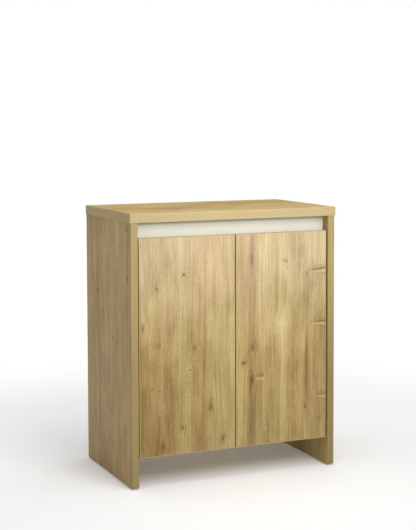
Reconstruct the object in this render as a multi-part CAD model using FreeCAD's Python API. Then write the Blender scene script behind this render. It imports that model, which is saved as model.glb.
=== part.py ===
"""Aquarium stand cabinet: a flat-pack carcass of oak-faced boards with two inset doors.

Millimetres, +Z up, +X to the right, -Y to the front. The origin is on the floor, at the
middle of the cabinet's outline. Each named node is written to parts/NODE.step.
"""

import math
import os

import FreeCAD
import Part
from FreeCAD import Vector

# ---------------------------------------------------------------- driving dimensions
WIDTH = 610.0  # top board, left to right
DEPTH = 360.0  # top board, front to back
HEIGHT = 730.0  # floor to the top face that the tank stands on

TOP_T = 25.0
SIDE_T = 20.0
BOTTOM_T = 18.0
BACK_T = 16.0
RAIL_T = 16.0
SHELF_T = 16.0
DOOR_T = 16.0
BAND_T = 2.0  # ABS edge band
BAND_R = 1.0  # rounding of an edge band's long edges

TOP_OVERHANG = 2.0  # of the top board past the sides and the sides' front edges
GLIDE_H = 3.0  # floor glide under each side panel
DOOR_RECESS = 4.0  # door face behind the side panels' front edges
DOOR_SIDE_GAP = 3.5
DOOR_MIDDLE_GAP = 3.0
DOOR_BOTTOM = 80.0
DOOR_TOP = 664.0
INNER_SETBACK = 31.0  # rail and bottom board behind the side panels' front edges
RAIL_H = 75.0
BOTTOM_Z = 82.0
SHELF_Z = 400.0
SHELF_FRONT_SETBACK = 62.0
SHELF_SIDE_GAP = 1.0
SHELF_REAR_GAP = 4.0

# ---------------------------------------------------------------- derived planes
SIDE_OUT = WIDTH / 2 - TOP_OVERHANG
SIDE_IN = SIDE_OUT - SIDE_T
SIDE_MID = SIDE_OUT - SIDE_T / 2
SIDE_TOP = HEIGHT - TOP_T
TOP_FRONT = -DEPTH / 2
SIDE_FRONT = TOP_FRONT + TOP_OVERHANG
REAR = DEPTH / 2
BACK_FACE = REAR - BACK_T
BACK_MID = REAR - BACK_T / 2
INNER_FRONT = SIDE_FRONT + INNER_SETBACK
RAIL_MID = INNER_FRONT + RAIL_T / 2
RAIL_BOTTOM = SIDE_TOP - RAIL_H
BOTTOM_TOP = BOTTOM_Z + BOTTOM_T
BOTTOM_MID = BOTTOM_Z + BOTTOM_T / 2
DOOR_FRONT = SIDE_FRONT + DOOR_RECESS
DOOR_BACK = DOOR_FRONT + DOOR_T
DOOR_OUT = SIDE_IN - DOOR_SIDE_GAP
DOOR_IN = DOOR_MIDDLE_GAP / 2

# ---------------------------------------------------------------- connecting fittings
CAM_R, CAM_DEPTH, CAM_SETBACK = 7.5, 12.5, 24.0
CAM_SLOT_REACH, CAM_SLOT_DEPTH = 4.2, 2.0
CAM_MOUTH_R, CAM_MOUTH_BEHIND = 3.7, 2.5  # the way into the cam for the bolt's head
BOLT_THREAD_R, BOLT_THREAD_L = 3.0, 11.0
BOLT_COLLAR_L = 3.0
BOLT_SHANK_R, BOLT_HEAD_R, BOLT_HEAD_L = 2.2, 3.3, 3.0
BOLT_CHANNEL_R = 4.0
DOWEL_R, DOWEL_SHORT, DOWEL_LONG, DOWEL_CHAMFER = 4.0, 12.0, 18.0, 0.8
HOLE_PLAY = 0.05  # radial play of a fitting in its hole
HOLE_SPARE = 0.5  # depth of a blind hole past the end of its fitting
SLOT_W = 0.9  # width of each arm of a cross slot
PIN_HOLE_R, PIN_HOLE_DEPTH, PIN_PITCH, PIN_HOLES = 2.5, 12.0, 32.0, 9
PIN_PEG_R, PIN_PEG_L, PIN_COLLAR_R, PIN_COLLAR_L = 3.0, 9.0, 3.9, 0.8
PIN_ROWS = (-100.0, 120.0)  # Y of the shelf pin rows

SIDE_BOLT_ROWS = (-100.0, 120.0)  # Y of the bolts that hold the top board
SIDE_DOWEL_ROWS = (-55.0, 75.0)
BOTTOM_BOLT_ROWS = (-110.0, 115.0)
BOTTOM_DOWEL_ROWS = (-60.0, 60.0)
BACK_BOLT_HEIGHTS = (150.0, 545.0)
BACK_DOWEL_HEIGHTS = (230.0, 470.0)
RAIL_BOLT_Z = RAIL_BOTTOM + 22.0
RAIL_DOWEL_Z = RAIL_BOTTOM + 55.0
INNER_DOWEL_X = 120.0  # dowels from the rail and back board up into the top board

GROMMET_X, GROMMET_Z = 212.0, 605.0
GROMMET_OUT_R, GROMMET_IN_R = 30.0, 27.0
GROMMET_FLANGE_R, GROMMET_FLANGE_T, GROMMET_ROUND = 34.0, 2.0, 1.2

GLIDE_R, GLIDE_ROUND, GLIDE_Y = 8.0, 1.0, 150.0
NAIL_R, NAIL_L = 1.1, 12.0

# ---------------------------------------------------------------- hinge
# Plan positions are local to a hinge: x from the side panel's inner face towards the
# middle, y back from the side panels' front edges, z from the hinge's centre.
HINGE_HEIGHTS = {"lower": DOOR_BOTTOM + 90.0, "upper": DOOR_TOP - 90.0}
CUP_X = DOOR_SIDE_GAP + 5.0 + 17.5
CUP_R, CUP_WALL, CUP_DEPTH = 17.5, 0.8, 12.0
FLANGE_T, FLANGE_R, EAR_R = 1.0, 19.0, 7.0
CUP_SCREW_X, CUP_SCREW_Z = CUP_X + 6.0, 24.0
CUP_SCREW_HEAD, CUP_SCREW_HOLE, CUP_SCREW_R, CUP_SCREW_L = (3.6, 1.6), 1.9, 1.6, 12.0
PIVOT = (18.0, 12.2)
PIVOT_R = 1.5
KNUCKLE_R, NECK_T, NECK_HALF_W = 3.0, 3.0, 5.1
NECK_PATH = (PIVOT, (35.1, 20.5), (37.5, 24.6), (36.6, 29.4), (32.5, 32.4))
NECK_PATH += ((17.5, 32.4), (13.8, 34.6), (13.0, 39.0), (13.0, 46.0))
CHEEK_IN, CHEEK_OUT, CHEEK_R = 5.5, 8.0, 3.4
CHANNEL = (38.0, 86.0)  # y range of the arm's channel
CHANNEL_HALF_W, CHANNEL_WALL = 8.5, 1.5
CHANNEL_BASE, CHANNEL_WEB, CHANNEL_TOP = 4.0, 12.0, 14.0
PLATE_RAIL = (46.0, 82.0)
PLATE_RAIL_HALF_W, PLATE_RAIL_TOP = 6.6, 11.2
PLATE_T, PLATE_Y, PLATE_WING_R, PLATE_SCREW_Z = 2.0, 57.0, 6.0, 16.0
PLATE_SCREW_HEAD_R, PLATE_SCREW_R, PLATE_SCREW_L = 4.5, 2.45, 13.0
PLATE_SINK = (2.6, 4.6)  # countersink radii
PLATE_PILOT_DEPTH = 12.0
ARM_SCREWS = ((66.0, 3.0), (76.0, 3.6))  # (y, head radius): side adjuster, then clamping screw
ARM_SCREW_R, ARM_SCREW_L, ARM_SCREW_HEAD_H, ARM_HOLE_R = 2.2, 11.0, 2.2, 2.5

# ---------------------------------------------------------------- magnetic catch
CATCH_X, CATCH_HALF_W, CATCH_H, CATCH_ROUND = 40.0, 22.0, 13.0, 3.0
CATCH_FRONT = DOOR_BACK + 1.6  # the magnet's face
CATCH_LIP = 0.8  # magnet proud of its housing
CATCH_REAR = INNER_FRONT + RAIL_T - 2.0
MAGNET_HALF_W, MAGNET_DEPTH, MAGNET_INSET, MAGNET_PLAY = 15.0, 12.0, 3.0, 0.2
CATCH_SCREW_X, CATCH_SCREW_R, CATCH_SCREW_HEAD, CATCH_SCREW_BITE = 18.0, 1.5, (3.0, 1.6), 9.0
CATCH_HOLE_R = 1.8
STRIKE_T, STRIKE_HALF_W, STRIKE_HALF_H, STRIKE_ROUND = 1.2, 17.0, 5.0, 3.0
STRIKE_SINK, STRIKE_SCREW_HEAD_R, STRIKE_SCREW_R, STRIKE_SCREW_L = (1.5, 3.2), 3.1, 1.45, 11.0

nodes = {}


def add(name, *solids):
    """Files solids under a node name; a node may hold several like pieces."""
    nodes.setdefault(name, []).extend(solids)


def box(x, y, z):
    """A box from three (low, high) ranges."""
    return Part.makeBox(x[1] - x[0], y[1] - y[0], z[1] - z[0], Vector(x[0], y[0], z[0]))


def rod(start, direction, radius, length):
    """A cylinder from a point along a direction."""
    return Part.makeCylinder(radius, length, Vector(*start), Vector(*direction))


def same(shape):
    """The shape where it is, on the left side of the cabinet."""
    return shape


def mirrored(shape):
    """The same shape on the other side of the cabinet."""
    return shape.mirror(Vector(0, 0, 0), Vector(1, 0, 0))


def span(a, b):
    return (min(a, b), max(a, b))


def eased(shape, axis, radius):
    """Rounds the edges of a block that run along one axis."""
    run = Vector(*axis)
    edges = [e for e in shape.Edges if abs(e.tangentAt(e.FirstParameter).dot(run)) > 0.999]
    return shape.makeFillet(radius, edges)


def edge_band(x, y, z, outward):
    """An edge band whose two long outer edges are rounded; outward points away from the board."""
    strip = box(x, y, z)
    out = Vector(*outward)
    reach = max(v.Point.dot(out) for v in strip.Vertexes)
    outer = [e for e in strip.Edges if min(v.Point.dot(out) for v in e.Vertexes) > reach - BAND_R]
    outer.sort(key=lambda e: e.Length)
    return strip.makeFillet(BAND_R, outer[-2:])


def aim(shape, at, direction):
    """Places a shape that was made along +Z from the origin."""
    shape.Placement = FreeCAD.Placement(Vector(*at), FreeCAD.Rotation(Vector(0, 0, 1), Vector(*direction)))
    return shape


def cross_slot(face, reach, depth):
    """The cutter for a cross slot in a face at height face, for a shape along +Z."""
    across = Part.makeBox(2 * reach, SLOT_W, depth, Vector(-reach, -SLOT_W / 2, face - depth))
    along_y = Part.makeBox(SLOT_W, 2 * reach, depth, Vector(-SLOT_W / 2, -reach, face - depth))
    return across.fuse(along_y)


def screw(seat, direction, head, shank, countersunk=False):
    """A screw from its seat: head and shank are (radius, length), and the head faces direction."""
    body = Part.makeCylinder(shank[0], shank[1], Vector(0, 0, -shank[1]))
    if countersunk:
        face = 0.0
        cap = Part.makeCone(shank[0], head[0], head[1], Vector(0, 0, -head[1]))
    else:
        face = head[1]
        cap = Part.makeCylinder(head[0], head[1])
        cap = cap.makeFillet(0.4 * face, [e for e in cap.Edges if e.BoundBox.ZMin > 0.9 * face])
    whole = body.fuse(cap).removeSplitter()
    return aim(whole.cut(cross_slot(face, 0.55 * head[0], 0.6 * head[1])), seat, direction)


class Drilling:
    """Collects the holes that each board needs, so that a board is cut once."""

    def __init__(self):
        self.cutters = {}

    def drill(self, board, start, direction, radius, depth):
        self.cutters.setdefault(board, []).append(rod(start, direction, radius, depth))

    def cut(self, board, shape):
        for cutter in self.cutters.get(board, []):
            shape = shape.cut(cutter)
        return shape


drilling = Drilling()


def along(start, direction, distance):
    return tuple(s + d * distance for s, d in zip(start, direction))


def opposite(direction):
    return tuple(-d for d in direction)


def dowel(seat, direction, long_board, short_board):
    """A wooden dowel across a joint face: its long end in one board, its short end in the other."""
    clear = DOWEL_R + HOLE_PLAY
    drilling.drill(long_board, seat, opposite(direction), clear, DOWEL_LONG + HOLE_SPARE)
    drilling.drill(short_board, seat, direction, clear, DOWEL_SHORT + HOLE_SPARE)
    piece = rod(along(seat, direction, -DOWEL_LONG), direction, DOWEL_R, DOWEL_LONG + DOWEL_SHORT)
    rims = [e for e in piece.Edges if e.Curve.TypeId == "Part::GeomCircle"]
    add("wood_dowels", piece.makeChamfer(DOWEL_CHAMFER, rims))


def cam_joint(seat, direction, bolted_board, cam_board, cam_face_distance, cam_axis):
    """A cam fitting: a bolt screwed into one board, and the cam in the other that draws it in.

    seat is where the bolt crosses the joint face, and direction points into the bolted
    board. cam_axis points out of the cam's face, which is cam_face_distance from the bolt.
    """
    into_cam = opposite(direction)
    centre = along(seat, into_cam, CAM_SETBACK)
    face = along(centre, cam_axis, cam_face_distance)
    drilling.drill(bolted_board, seat, direction, BOLT_THREAD_R, BOLT_THREAD_L + HOLE_SPARE)
    drilling.drill(cam_board, seat, into_cam, BOLT_CHANNEL_R, CAM_SETBACK)
    drilling.drill(cam_board, face, opposite(cam_axis), CAM_R + HOLE_PLAY, CAM_DEPTH + HOLE_SPARE)
    thread = rod(seat, direction, BOLT_THREAD_R - HOLE_PLAY, BOLT_THREAD_L)
    collar = rod(seat, into_cam, BOLT_CHANNEL_R - HOLE_PLAY, BOLT_COLLAR_L)
    shank = rod(centre, direction, BOLT_SHANK_R, CAM_SETBACK)
    head = rod(centre, direction, BOLT_HEAD_R, BOLT_HEAD_L)
    add("cam_bolts", thread.fuse([collar, shank, head]).removeSplitter())
    cam = Part.makeCylinder(CAM_R, CAM_DEPTH, Vector(0, 0, -CAM_DEPTH))
    cam = aim(cam.cut(cross_slot(0.0, CAM_SLOT_REACH, CAM_SLOT_DEPTH)), face, cam_axis)
    mouth = rod(along(centre, into_cam, CAM_MOUTH_BEHIND), direction, CAM_MOUTH_R, CAM_SETBACK)
    add("cam_locks", cam.cut(mouth))


def place_fittings():
    """Every dowel and cam of the carcass, on both sides."""
    for side, panel in ((-1, "left_side_panel"), (1, "right_side_panel")):
        outwards = (side, 0, 0)
        inwards = (-side, 0, 0)
        for y in SIDE_BOLT_ROWS:
            cam_joint((side * SIDE_MID, y, SIDE_TOP), (0, 0, 1), "top_panel", panel, SIDE_T / 2, inwards)
        for y in SIDE_DOWEL_ROWS:
            dowel((side * SIDE_MID, y, SIDE_TOP), (0, 0, 1), panel, "top_panel")
        for y in BOTTOM_BOLT_ROWS:
            seat = (side * SIDE_IN, y, BOTTOM_MID)
            cam_joint(seat, outwards, panel, "bottom_panel", BOTTOM_T / 2, (0, 0, -1))
        for y in BOTTOM_DOWEL_ROWS:
            dowel((side * SIDE_IN, y, BOTTOM_MID), outwards, "bottom_panel", panel)
        seat = (side * SIDE_IN, RAIL_MID, RAIL_BOLT_Z)
        cam_joint(seat, outwards, panel, "finger_rail", RAIL_T / 2, (0, 1, 0))
        dowel((side * SIDE_IN, RAIL_MID, RAIL_DOWEL_Z), outwards, "finger_rail", panel)
        for z in BACK_BOLT_HEIGHTS:
            cam_joint((side * SIDE_IN, BACK_MID, z), outwards, panel, "back_panel", BACK_T / 2, (0, -1, 0))
        for z in BACK_DOWEL_HEIGHTS:
            dowel((side * SIDE_IN, BACK_MID, z), outwards, "back_panel", panel)
        dowel((side * INNER_DOWEL_X, RAIL_MID, SIDE_TOP), (0, 0, 1), "finger_rail", "top_panel")
        dowel((side * INNER_DOWEL_X, BACK_MID, SIDE_TOP), (0, 0, 1), "back_panel", "top_panel")
        dowel((side * INNER_DOWEL_X, BACK_FACE, BOTTOM_MID), (0, 1, 0), "bottom_panel", "back_panel")


def place_glides():
    """A nail-in plastic glide near each end of the side panels' lower edges."""
    for side, panel in ((-1, "left_side_panel"), (1, "right_side_panel")):
        for y in (-GLIDE_Y, GLIDE_Y):
            foot = rod((side * SIDE_MID, y, 0), (0, 0, 1), GLIDE_R, GLIDE_H)
            foot = foot.makeFillet(GLIDE_ROUND, [e for e in foot.Edges if e.BoundBox.ZMax < GLIDE_ROUND])
            nail = rod((side * SIDE_MID, y, GLIDE_H), (0, 0, 1), NAIL_R, NAIL_L)
            add("floor_glides", foot.fuse(nail).removeSplitter())
            pilot = (side * SIDE_MID, y, GLIDE_H)
            drilling.drill(panel, pilot, (0, 0, 1), NAIL_R + HOLE_PLAY, NAIL_L + HOLE_SPARE)


def place_shelf_pins():
    """Two columns of pin holes in each side panel, and the four pins that carry the shelf."""
    pin_z = SHELF_Z - PIN_PEG_R
    first = pin_z - PIN_PITCH * (PIN_HOLES // 2)
    for side, panel in ((-1, "left_side_panel"), (1, "right_side_panel")):
        for y in PIN_ROWS:
            for step in range(PIN_HOLES):
                start = (side * SIDE_IN, y, first + step * PIN_PITCH)
                drilling.drill(panel, start, (side, 0, 0), PIN_HOLE_R, PIN_HOLE_DEPTH)
            seat = (side * SIDE_IN, y, pin_z)
            root = rod(seat, (side, 0, 0), PIN_HOLE_R - HOLE_PLAY, PIN_HOLE_DEPTH - HOLE_SPARE)
            collar = rod(seat, (-side, 0, 0), PIN_COLLAR_R, PIN_COLLAR_L)
            peg = rod(seat, (-side, 0, 0), PIN_PEG_R, PIN_PEG_L)
            add("shelf_pins", root.fuse([collar, peg]).removeSplitter())


def make_boards():
    """The carcass boards and their edge bands."""
    core = box((-WIDTH / 2 + BAND_T, WIDTH / 2 - BAND_T), (TOP_FRONT + BAND_T, REAR), (SIDE_TOP, HEIGHT))
    add("top_panel", drilling.cut("top_panel", core))
    top_z = (SIDE_TOP, HEIGHT)
    front = (0, -1, 0)
    band_y = (TOP_FRONT, TOP_FRONT + BAND_T)
    add("top_front_edge_band", edge_band((-WIDTH / 2, WIDTH / 2), band_y, top_z, front))
    for side, name in ((-1, "left"), (1, "right")):
        x = span(side * WIDTH / 2, side * (WIDTH / 2 - BAND_T))
        add(f"top_{name}_edge_band", edge_band(x, (TOP_FRONT + BAND_T, REAR), top_z, (side, 0, 0)))
        x = span(side * SIDE_OUT, side * SIDE_IN)
        panel = f"{name}_side_panel"
        add(panel, drilling.cut(panel, box(x, (SIDE_FRONT + BAND_T, REAR), (GLIDE_H, SIDE_TOP))))
        band_y = (SIDE_FRONT, SIDE_FRONT + BAND_T)
        add(f"{name}_side_edge_band", edge_band(x, band_y, (GLIDE_H, SIDE_TOP), front))

    inner = (-SIDE_IN, SIDE_IN)
    bottom = box(inner, (INNER_FRONT + BAND_T, BACK_FACE), (BOTTOM_Z, BOTTOM_TOP))
    add("bottom_panel", drilling.cut("bottom_panel", bottom))
    band_y = (INNER_FRONT, INNER_FRONT + BAND_T)
    add("bottom_edge_band", edge_band(inner, band_y, (BOTTOM_Z, BOTTOM_TOP), front))
    rail = box(inner, (INNER_FRONT, INNER_FRONT + RAIL_T), (RAIL_BOTTOM, SIDE_TOP))
    add("finger_rail", drilling.cut("finger_rail", rail))
    back = box(inner, (BACK_FACE, REAR), (BOTTOM_Z, SIDE_TOP))
    add("back_panel", drilling.cut("back_panel", back))

    shelf_x = (-SIDE_IN + SHELF_SIDE_GAP, SIDE_IN - SHELF_SIDE_GAP)
    shelf_y = (SIDE_FRONT + SHELF_FRONT_SETBACK, BACK_FACE - SHELF_REAR_GAP)
    shelf_z = (SHELF_Z, SHELF_Z + SHELF_T)
    add("shelf", box(shelf_x, (shelf_y[0] + BAND_T, shelf_y[1]), shelf_z))
    add("shelf_edge_band", edge_band(shelf_x, (shelf_y[0], shelf_y[0] + BAND_T), shelf_z, front))


def make_grommets():
    """A flanged liner in each hose and cable hole of the back board."""
    for side, name in ((-1, "left"), (1, "right")):
        rear = (side * GROMMET_X, REAR, GROMMET_Z)
        drilling.drill("back_panel", rear, (0, -1, 0), GROMMET_OUT_R, BACK_T)
        sleeve = rod(rear, (0, -1, 0), GROMMET_OUT_R - HOLE_PLAY, BACK_T)
        flange = rod(along(rear, (0, -1, 0), BACK_T), (0, -1, 0), GROMMET_FLANGE_R, GROMMET_FLANGE_T)
        rim = [e for e in flange.Edges if e.BoundBox.YMax < BACK_FACE - 0.9 * GROMMET_FLANGE_T]
        flange = flange.makeFillet(GROMMET_ROUND, rim)
        liner = sleeve.fuse(flange).removeSplitter()
        bore_l = BACK_T + GROMMET_FLANGE_T
        add(f"{name}_hose_grommet", liner.cut(rod(rear, (0, -1, 0), GROMMET_IN_R, bore_l)))


def strip(points, thickness, half_width):
    """A flat bar bent along a plan path: straight lengths with round corners."""
    solids = []
    for a, b in zip(points, points[1:]):
        run = math.dist(a, b)
        piece = Part.makeBox(run, thickness, 2 * half_width, Vector(0, -thickness / 2, -half_width))
        piece.rotate(Vector(0, 0, 0), Vector(0, 0, 1), math.degrees(math.atan2(b[1] - a[1], b[0] - a[0])))
        piece.translate(Vector(a[0], a[1], 0))
        solids.append(piece)
    for p in points[1:-1]:
        solids.append(rod((p[0], p[1], -half_width), (0, 0, 1), thickness / 2, 2 * half_width))
    return solids[0].fuse(solids[1:]).removeSplitter()


def hinge_arm():
    """The gooseneck that reaches into the cup, and the channel that clamps to the plate."""
    neck = strip(NECK_PATH, NECK_T, NECK_HALF_W)
    knuckle = rod((*PIVOT, -NECK_HALF_W), (0, 0, 1), KNUCKLE_R, 2 * NECK_HALF_W)
    channel = box((CHANNEL_BASE, CHANNEL_TOP), CHANNEL, (-CHANNEL_HALF_W, CHANNEL_HALF_W))
    inner_half_w = CHANNEL_HALF_W - CHANNEL_WALL
    inside = box((CHANNEL_BASE, CHANNEL_WEB), CHANNEL, (-inner_half_w, inner_half_w))
    arm = channel.cut(inside).fuse([neck, knuckle]).removeSplitter()
    arm = arm.cut(rod((*PIVOT, -NECK_HALF_W), (0, 0, 1), PIVOT_R + HOLE_PLAY, 2 * NECK_HALF_W))
    for y, _ in ARM_SCREWS:
        arm = arm.cut(rod((CHANNEL_BASE, y, 0), (1, 0, 0), ARM_HOLE_R, CHANNEL_TOP))
    return arm


def hinge_plate():
    """The wing plate on the side panel, with the rail that the arm clamps to."""
    wing_y = (PLATE_Y - PLATE_WING_R, PLATE_Y + PLATE_WING_R)
    wings = box((0, PLATE_T), wing_y, (-PLATE_SCREW_Z, PLATE_SCREW_Z))
    ends = [rod((0, PLATE_Y, z), (1, 0, 0), PLATE_WING_R, PLATE_T) for z in (-PLATE_SCREW_Z, PLATE_SCREW_Z)]
    rail = box((0, PLATE_RAIL_TOP), PLATE_RAIL, (-PLATE_RAIL_HALF_W, PLATE_RAIL_HALF_W))
    plate = wings.fuse(ends + [rail]).removeSplitter()
    for z in (-PLATE_SCREW_Z, PLATE_SCREW_Z):
        plate = plate.cut(Part.makeCone(*PLATE_SINK, PLATE_T, Vector(0, PLATE_Y, z), Vector(1, 0, 0)))
    for y, _ in ARM_SCREWS:
        plate = plate.cut(rod((PLATE_T, y, 0), (1, 0, 0), ARM_SCREW_R + HOLE_PLAY, PLATE_RAIL_TOP))
    return plate


def hinge_cup():
    """The pressed cup in the door, its flange with two ears, and the cheeks that hold the pin."""
    back = DOOR_RECESS + DOOR_T
    depth = CUP_DEPTH - 2 * HOLE_PLAY
    outer = rod((CUP_X, back, 0), (0, -1, 0), CUP_R - HOLE_PLAY, depth)
    disc = rod((CUP_X, back, 0), (0, 1, 0), FLANGE_R, FLANGE_T)
    ear_x = (CUP_SCREW_X - EAR_R, CUP_SCREW_X + EAR_R)
    bar = box(ear_x, (back, back + FLANGE_T), (-CUP_SCREW_Z, CUP_SCREW_Z))
    ears = [rod((CUP_SCREW_X, back, z), (0, 1, 0), EAR_R, FLANGE_T) for z in (-CUP_SCREW_Z, CUP_SCREW_Z)]
    cup = outer.fuse([disc, bar] + ears).removeSplitter()
    floor = back - depth + CUP_WALL
    cup = cup.cut(rod((CUP_X, floor, 0), (0, 1, 0), CUP_R - CUP_WALL, CUP_DEPTH + FLANGE_T))
    cheek_x = (PIVOT[0] - CHEEK_R, PIVOT[0] + CHEEK_R)
    for sign in (-1, 1):
        cheek = box(cheek_x, (floor, PIVOT[1] + CHEEK_R), span(sign * CHEEK_IN, sign * CHEEK_OUT))
        cup = cup.fuse(cheek)
    cup = cup.cut(rod((*PIVOT, -CHEEK_OUT), (0, 0, 1), PIVOT_R, 2 * CHEEK_OUT))
    for z in (-CUP_SCREW_Z, CUP_SCREW_Z):
        cup = cup.cut(rod((CUP_SCREW_X, back, z), (0, 1, 0), CUP_SCREW_HOLE, FLANGE_T))
    return cup.removeSplitter()


def placed(shape, side, height):
    """Moves a shape from a hinge's local frame to the left or right side of the cabinet."""
    moved = shape.copy()
    moved.translate(Vector(-SIDE_IN, SIDE_FRONT, height))
    return moved if side < 0 else mirrored(moved)


def make_hinges():
    """Two concealed cup hinges for each door."""
    arm, plate, cup = hinge_arm(), hinge_plate(), hinge_cup()
    back = DOOR_RECESS + DOOR_T
    pin = rod((*PIVOT, -CHEEK_OUT), (0, 0, 1), PIVOT_R, 2 * CHEEK_OUT)
    plate_head, plate_shank = (PLATE_SCREW_HEAD_R, PLATE_T), (PLATE_SCREW_R, PLATE_SCREW_L)
    plate_screws = [
        screw((PLATE_T, PLATE_Y, z), (1, 0, 0), plate_head, plate_shank, countersunk=True)
        for z in (-PLATE_SCREW_Z, PLATE_SCREW_Z)
    ]
    arm_shank = (ARM_SCREW_R, ARM_SCREW_L)
    arm_screws = [
        screw((CHANNEL_TOP, y, 0), (1, 0, 0), (r, ARM_SCREW_HEAD_H), arm_shank) for y, r in ARM_SCREWS
    ]
    cup_shank = (CUP_SCREW_R, CUP_SCREW_L)
    cup_screws = [
        screw((CUP_SCREW_X, back + FLANGE_T, z), (0, 1, 0), CUP_SCREW_HEAD, cup_shank)
        for z in (-CUP_SCREW_Z, CUP_SCREW_Z)
    ]
    for side, name in ((-1, "left"), (1, "right")):
        for level, height in HINGE_HEIGHTS.items():
            add(f"{name}_{level}_hinge_arm", placed(arm, side, height))
            add(f"{name}_{level}_hinge_plate", placed(plate, side, height))
            add(f"{name}_{level}_hinge_cup", placed(cup, side, height))
            add(f"{name}_hinge_pins", placed(pin, side, height))
            add("hinge_plate_screws", *[placed(s, side, height) for s in plate_screws])
            add("hinge_arm_screws", *[placed(s, side, height) for s in arm_screws])
            add(f"{name}_hinge_cup_screws", *[placed(s, side, height) for s in cup_screws])
            for z in (-PLATE_SCREW_Z, PLATE_SCREW_Z):
                start = (side * SIDE_IN, SIDE_FRONT + PLATE_Y, height + z)
                pilot_r = PLATE_SCREW_R + HOLE_PLAY
                drilling.drill(f"{name}_side_panel", start, (side, 0, 0), pilot_r, PLATE_PILOT_DEPTH)


def make_doors():
    """Each door's board, bored for its cups, its edge bands and its strike plate."""
    x = (-DOOR_OUT, -DOOR_IN)
    y = (DOOR_FRONT, DOOR_BACK)
    z = (DOOR_BOTTOM, DOOR_TOP)
    core = box((x[0] + BAND_T, x[1] - BAND_T), y, (z[0] + BAND_T, z[1] - BAND_T))
    for height in HINGE_HEIGHTS.values():
        core = core.cut(rod((-SIDE_IN + CUP_X, DOOR_BACK, height), (0, -1, 0), CUP_R, CUP_DEPTH))
        for dz in (-CUP_SCREW_Z, CUP_SCREW_Z):
            start = (-SIDE_IN + CUP_SCREW_X, DOOR_BACK, height + dz)
            core = core.cut(rod(start, (0, -1, 0), CUP_SCREW_R + HOLE_PLAY, CUP_SCREW_L))
    strike = (-CATCH_X, DOOR_BACK, RAIL_BOTTOM - CATCH_H / 2)
    core = core.cut(rod(strike, (0, -1, 0), STRIKE_SCREW_R + HOLE_PLAY, STRIKE_SCREW_L))
    bands = [
        edge_band((x[0], x[0] + BAND_T), y, z, (-1, 0, 0)),
        edge_band((x[1] - BAND_T, x[1]), y, z, (1, 0, 0)),
        edge_band((x[0] + BAND_T, x[1] - BAND_T), y, (z[0], z[0] + BAND_T), (0, 0, -1)),
        edge_band((x[0] + BAND_T, x[1] - BAND_T), y, (z[1] - BAND_T, z[1]), (0, 0, 1)),
    ]
    plate = Part.makeBox(2 * STRIKE_HALF_W, 2 * STRIKE_HALF_H, STRIKE_T)
    plate.translate(Vector(-STRIKE_HALF_W, -STRIKE_HALF_H, 0))
    plate = eased(plate, (0, 0, 1), STRIKE_ROUND)
    plate = aim(plate.cut(Part.makeCone(*STRIKE_SINK, STRIKE_T)), strike, (0, 1, 0))
    seat = along(strike, (0, 1, 0), STRIKE_T)
    head, shank = (STRIKE_SCREW_HEAD_R, STRIKE_T), (STRIKE_SCREW_R, STRIKE_SCREW_L)
    fixing = screw(seat, (0, 1, 0), head, shank, countersunk=True)
    for name, turn in (("left", same), ("right", mirrored)):
        add(f"{name}_door_panel", turn(core))
        add(f"{name}_door_edge_bands", *[turn(b) for b in bands])
        add(f"{name}_strike_plate", turn(plate))
        add(f"{name}_strike_screw", turn(fixing))


def make_catches():
    """A magnetic catch under the rail for each door, next to where the doors meet."""
    z = (RAIL_BOTTOM - CATCH_H, RAIL_BOTTOM)
    x = (-CATCH_X - CATCH_HALF_W, -CATCH_X + CATCH_HALF_W)
    shell = eased(box(x, (CATCH_FRONT + CATCH_LIP, CATCH_REAR), z), (0, 0, 1), CATCH_ROUND)

    def magnet_block(play):
        half_w = MAGNET_HALF_W - play
        inset = MAGNET_INSET + play
        block_y = (CATCH_FRONT, CATCH_FRONT + MAGNET_DEPTH - play)
        return box((-CATCH_X - half_w, -CATCH_X + half_w), block_y, (z[0] + inset, z[1] - inset))

    shell = shell.cut(magnet_block(0.0))
    magnet = magnet_block(MAGNET_PLAY)
    screws = []
    for dx in (-CATCH_SCREW_X, CATCH_SCREW_X):
        seat = (-CATCH_X + dx, RAIL_MID, z[0])
        shell = shell.cut(rod(seat, (0, 0, 1), CATCH_HOLE_R, CATCH_H))
        shank = (CATCH_SCREW_R, CATCH_H + CATCH_SCREW_BITE)
        screws.append(screw(seat, (0, 0, -1), CATCH_SCREW_HEAD, shank))
        for side in (-1, 1):
            pilot = (side * seat[0], RAIL_MID, RAIL_BOTTOM)
            depth = CATCH_SCREW_BITE + HOLE_SPARE
            drilling.drill("finger_rail", pilot, (0, 0, 1), CATCH_SCREW_R + HOLE_PLAY, depth)
    for turn in (same, mirrored):
        add("catch_housings", turn(shell))
        add("catch_magnets", turn(magnet))
        add("catch_screws", *[turn(s) for s in screws])


def main():
    place_fittings()
    place_glides()
    place_shelf_pins()
    make_grommets()
    make_hinges()
    make_catches()
    make_doors()
    make_boards()
    os.makedirs("parts", exist_ok=True)
    for name, solids in sorted(nodes.items()):
        for solid in solids:
            if not solid.isValid() or solid.Volume <= 0 or len(solid.Solids) != 1:
                raise ValueError(f"{name}: a piece is not one valid closed solid")
        shape = solids[0] if len(solids) == 1 else Part.makeCompound(solids)
        shape.exportStep(f"parts/{name}.step")
    print(len(nodes), "nodes,", sum(len(s) for s in nodes.values()), "solids")


main()
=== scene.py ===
"""Finishes, small fittings and studio for the aquarium stand cabinet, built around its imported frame.

Laid out as an add-on: each operator finishes or builds one group of pieces, and main() runs them in
order. Lengths on the boards are in millimetres, because grain is easiest to judge in them; places in
the scene are in metres.
"""

import math
from collections import namedtuple

import bmesh
import bpy
from bpy.props import FloatProperty, FloatVectorProperty, PointerProperty
from mathutils import Matrix, Vector


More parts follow.
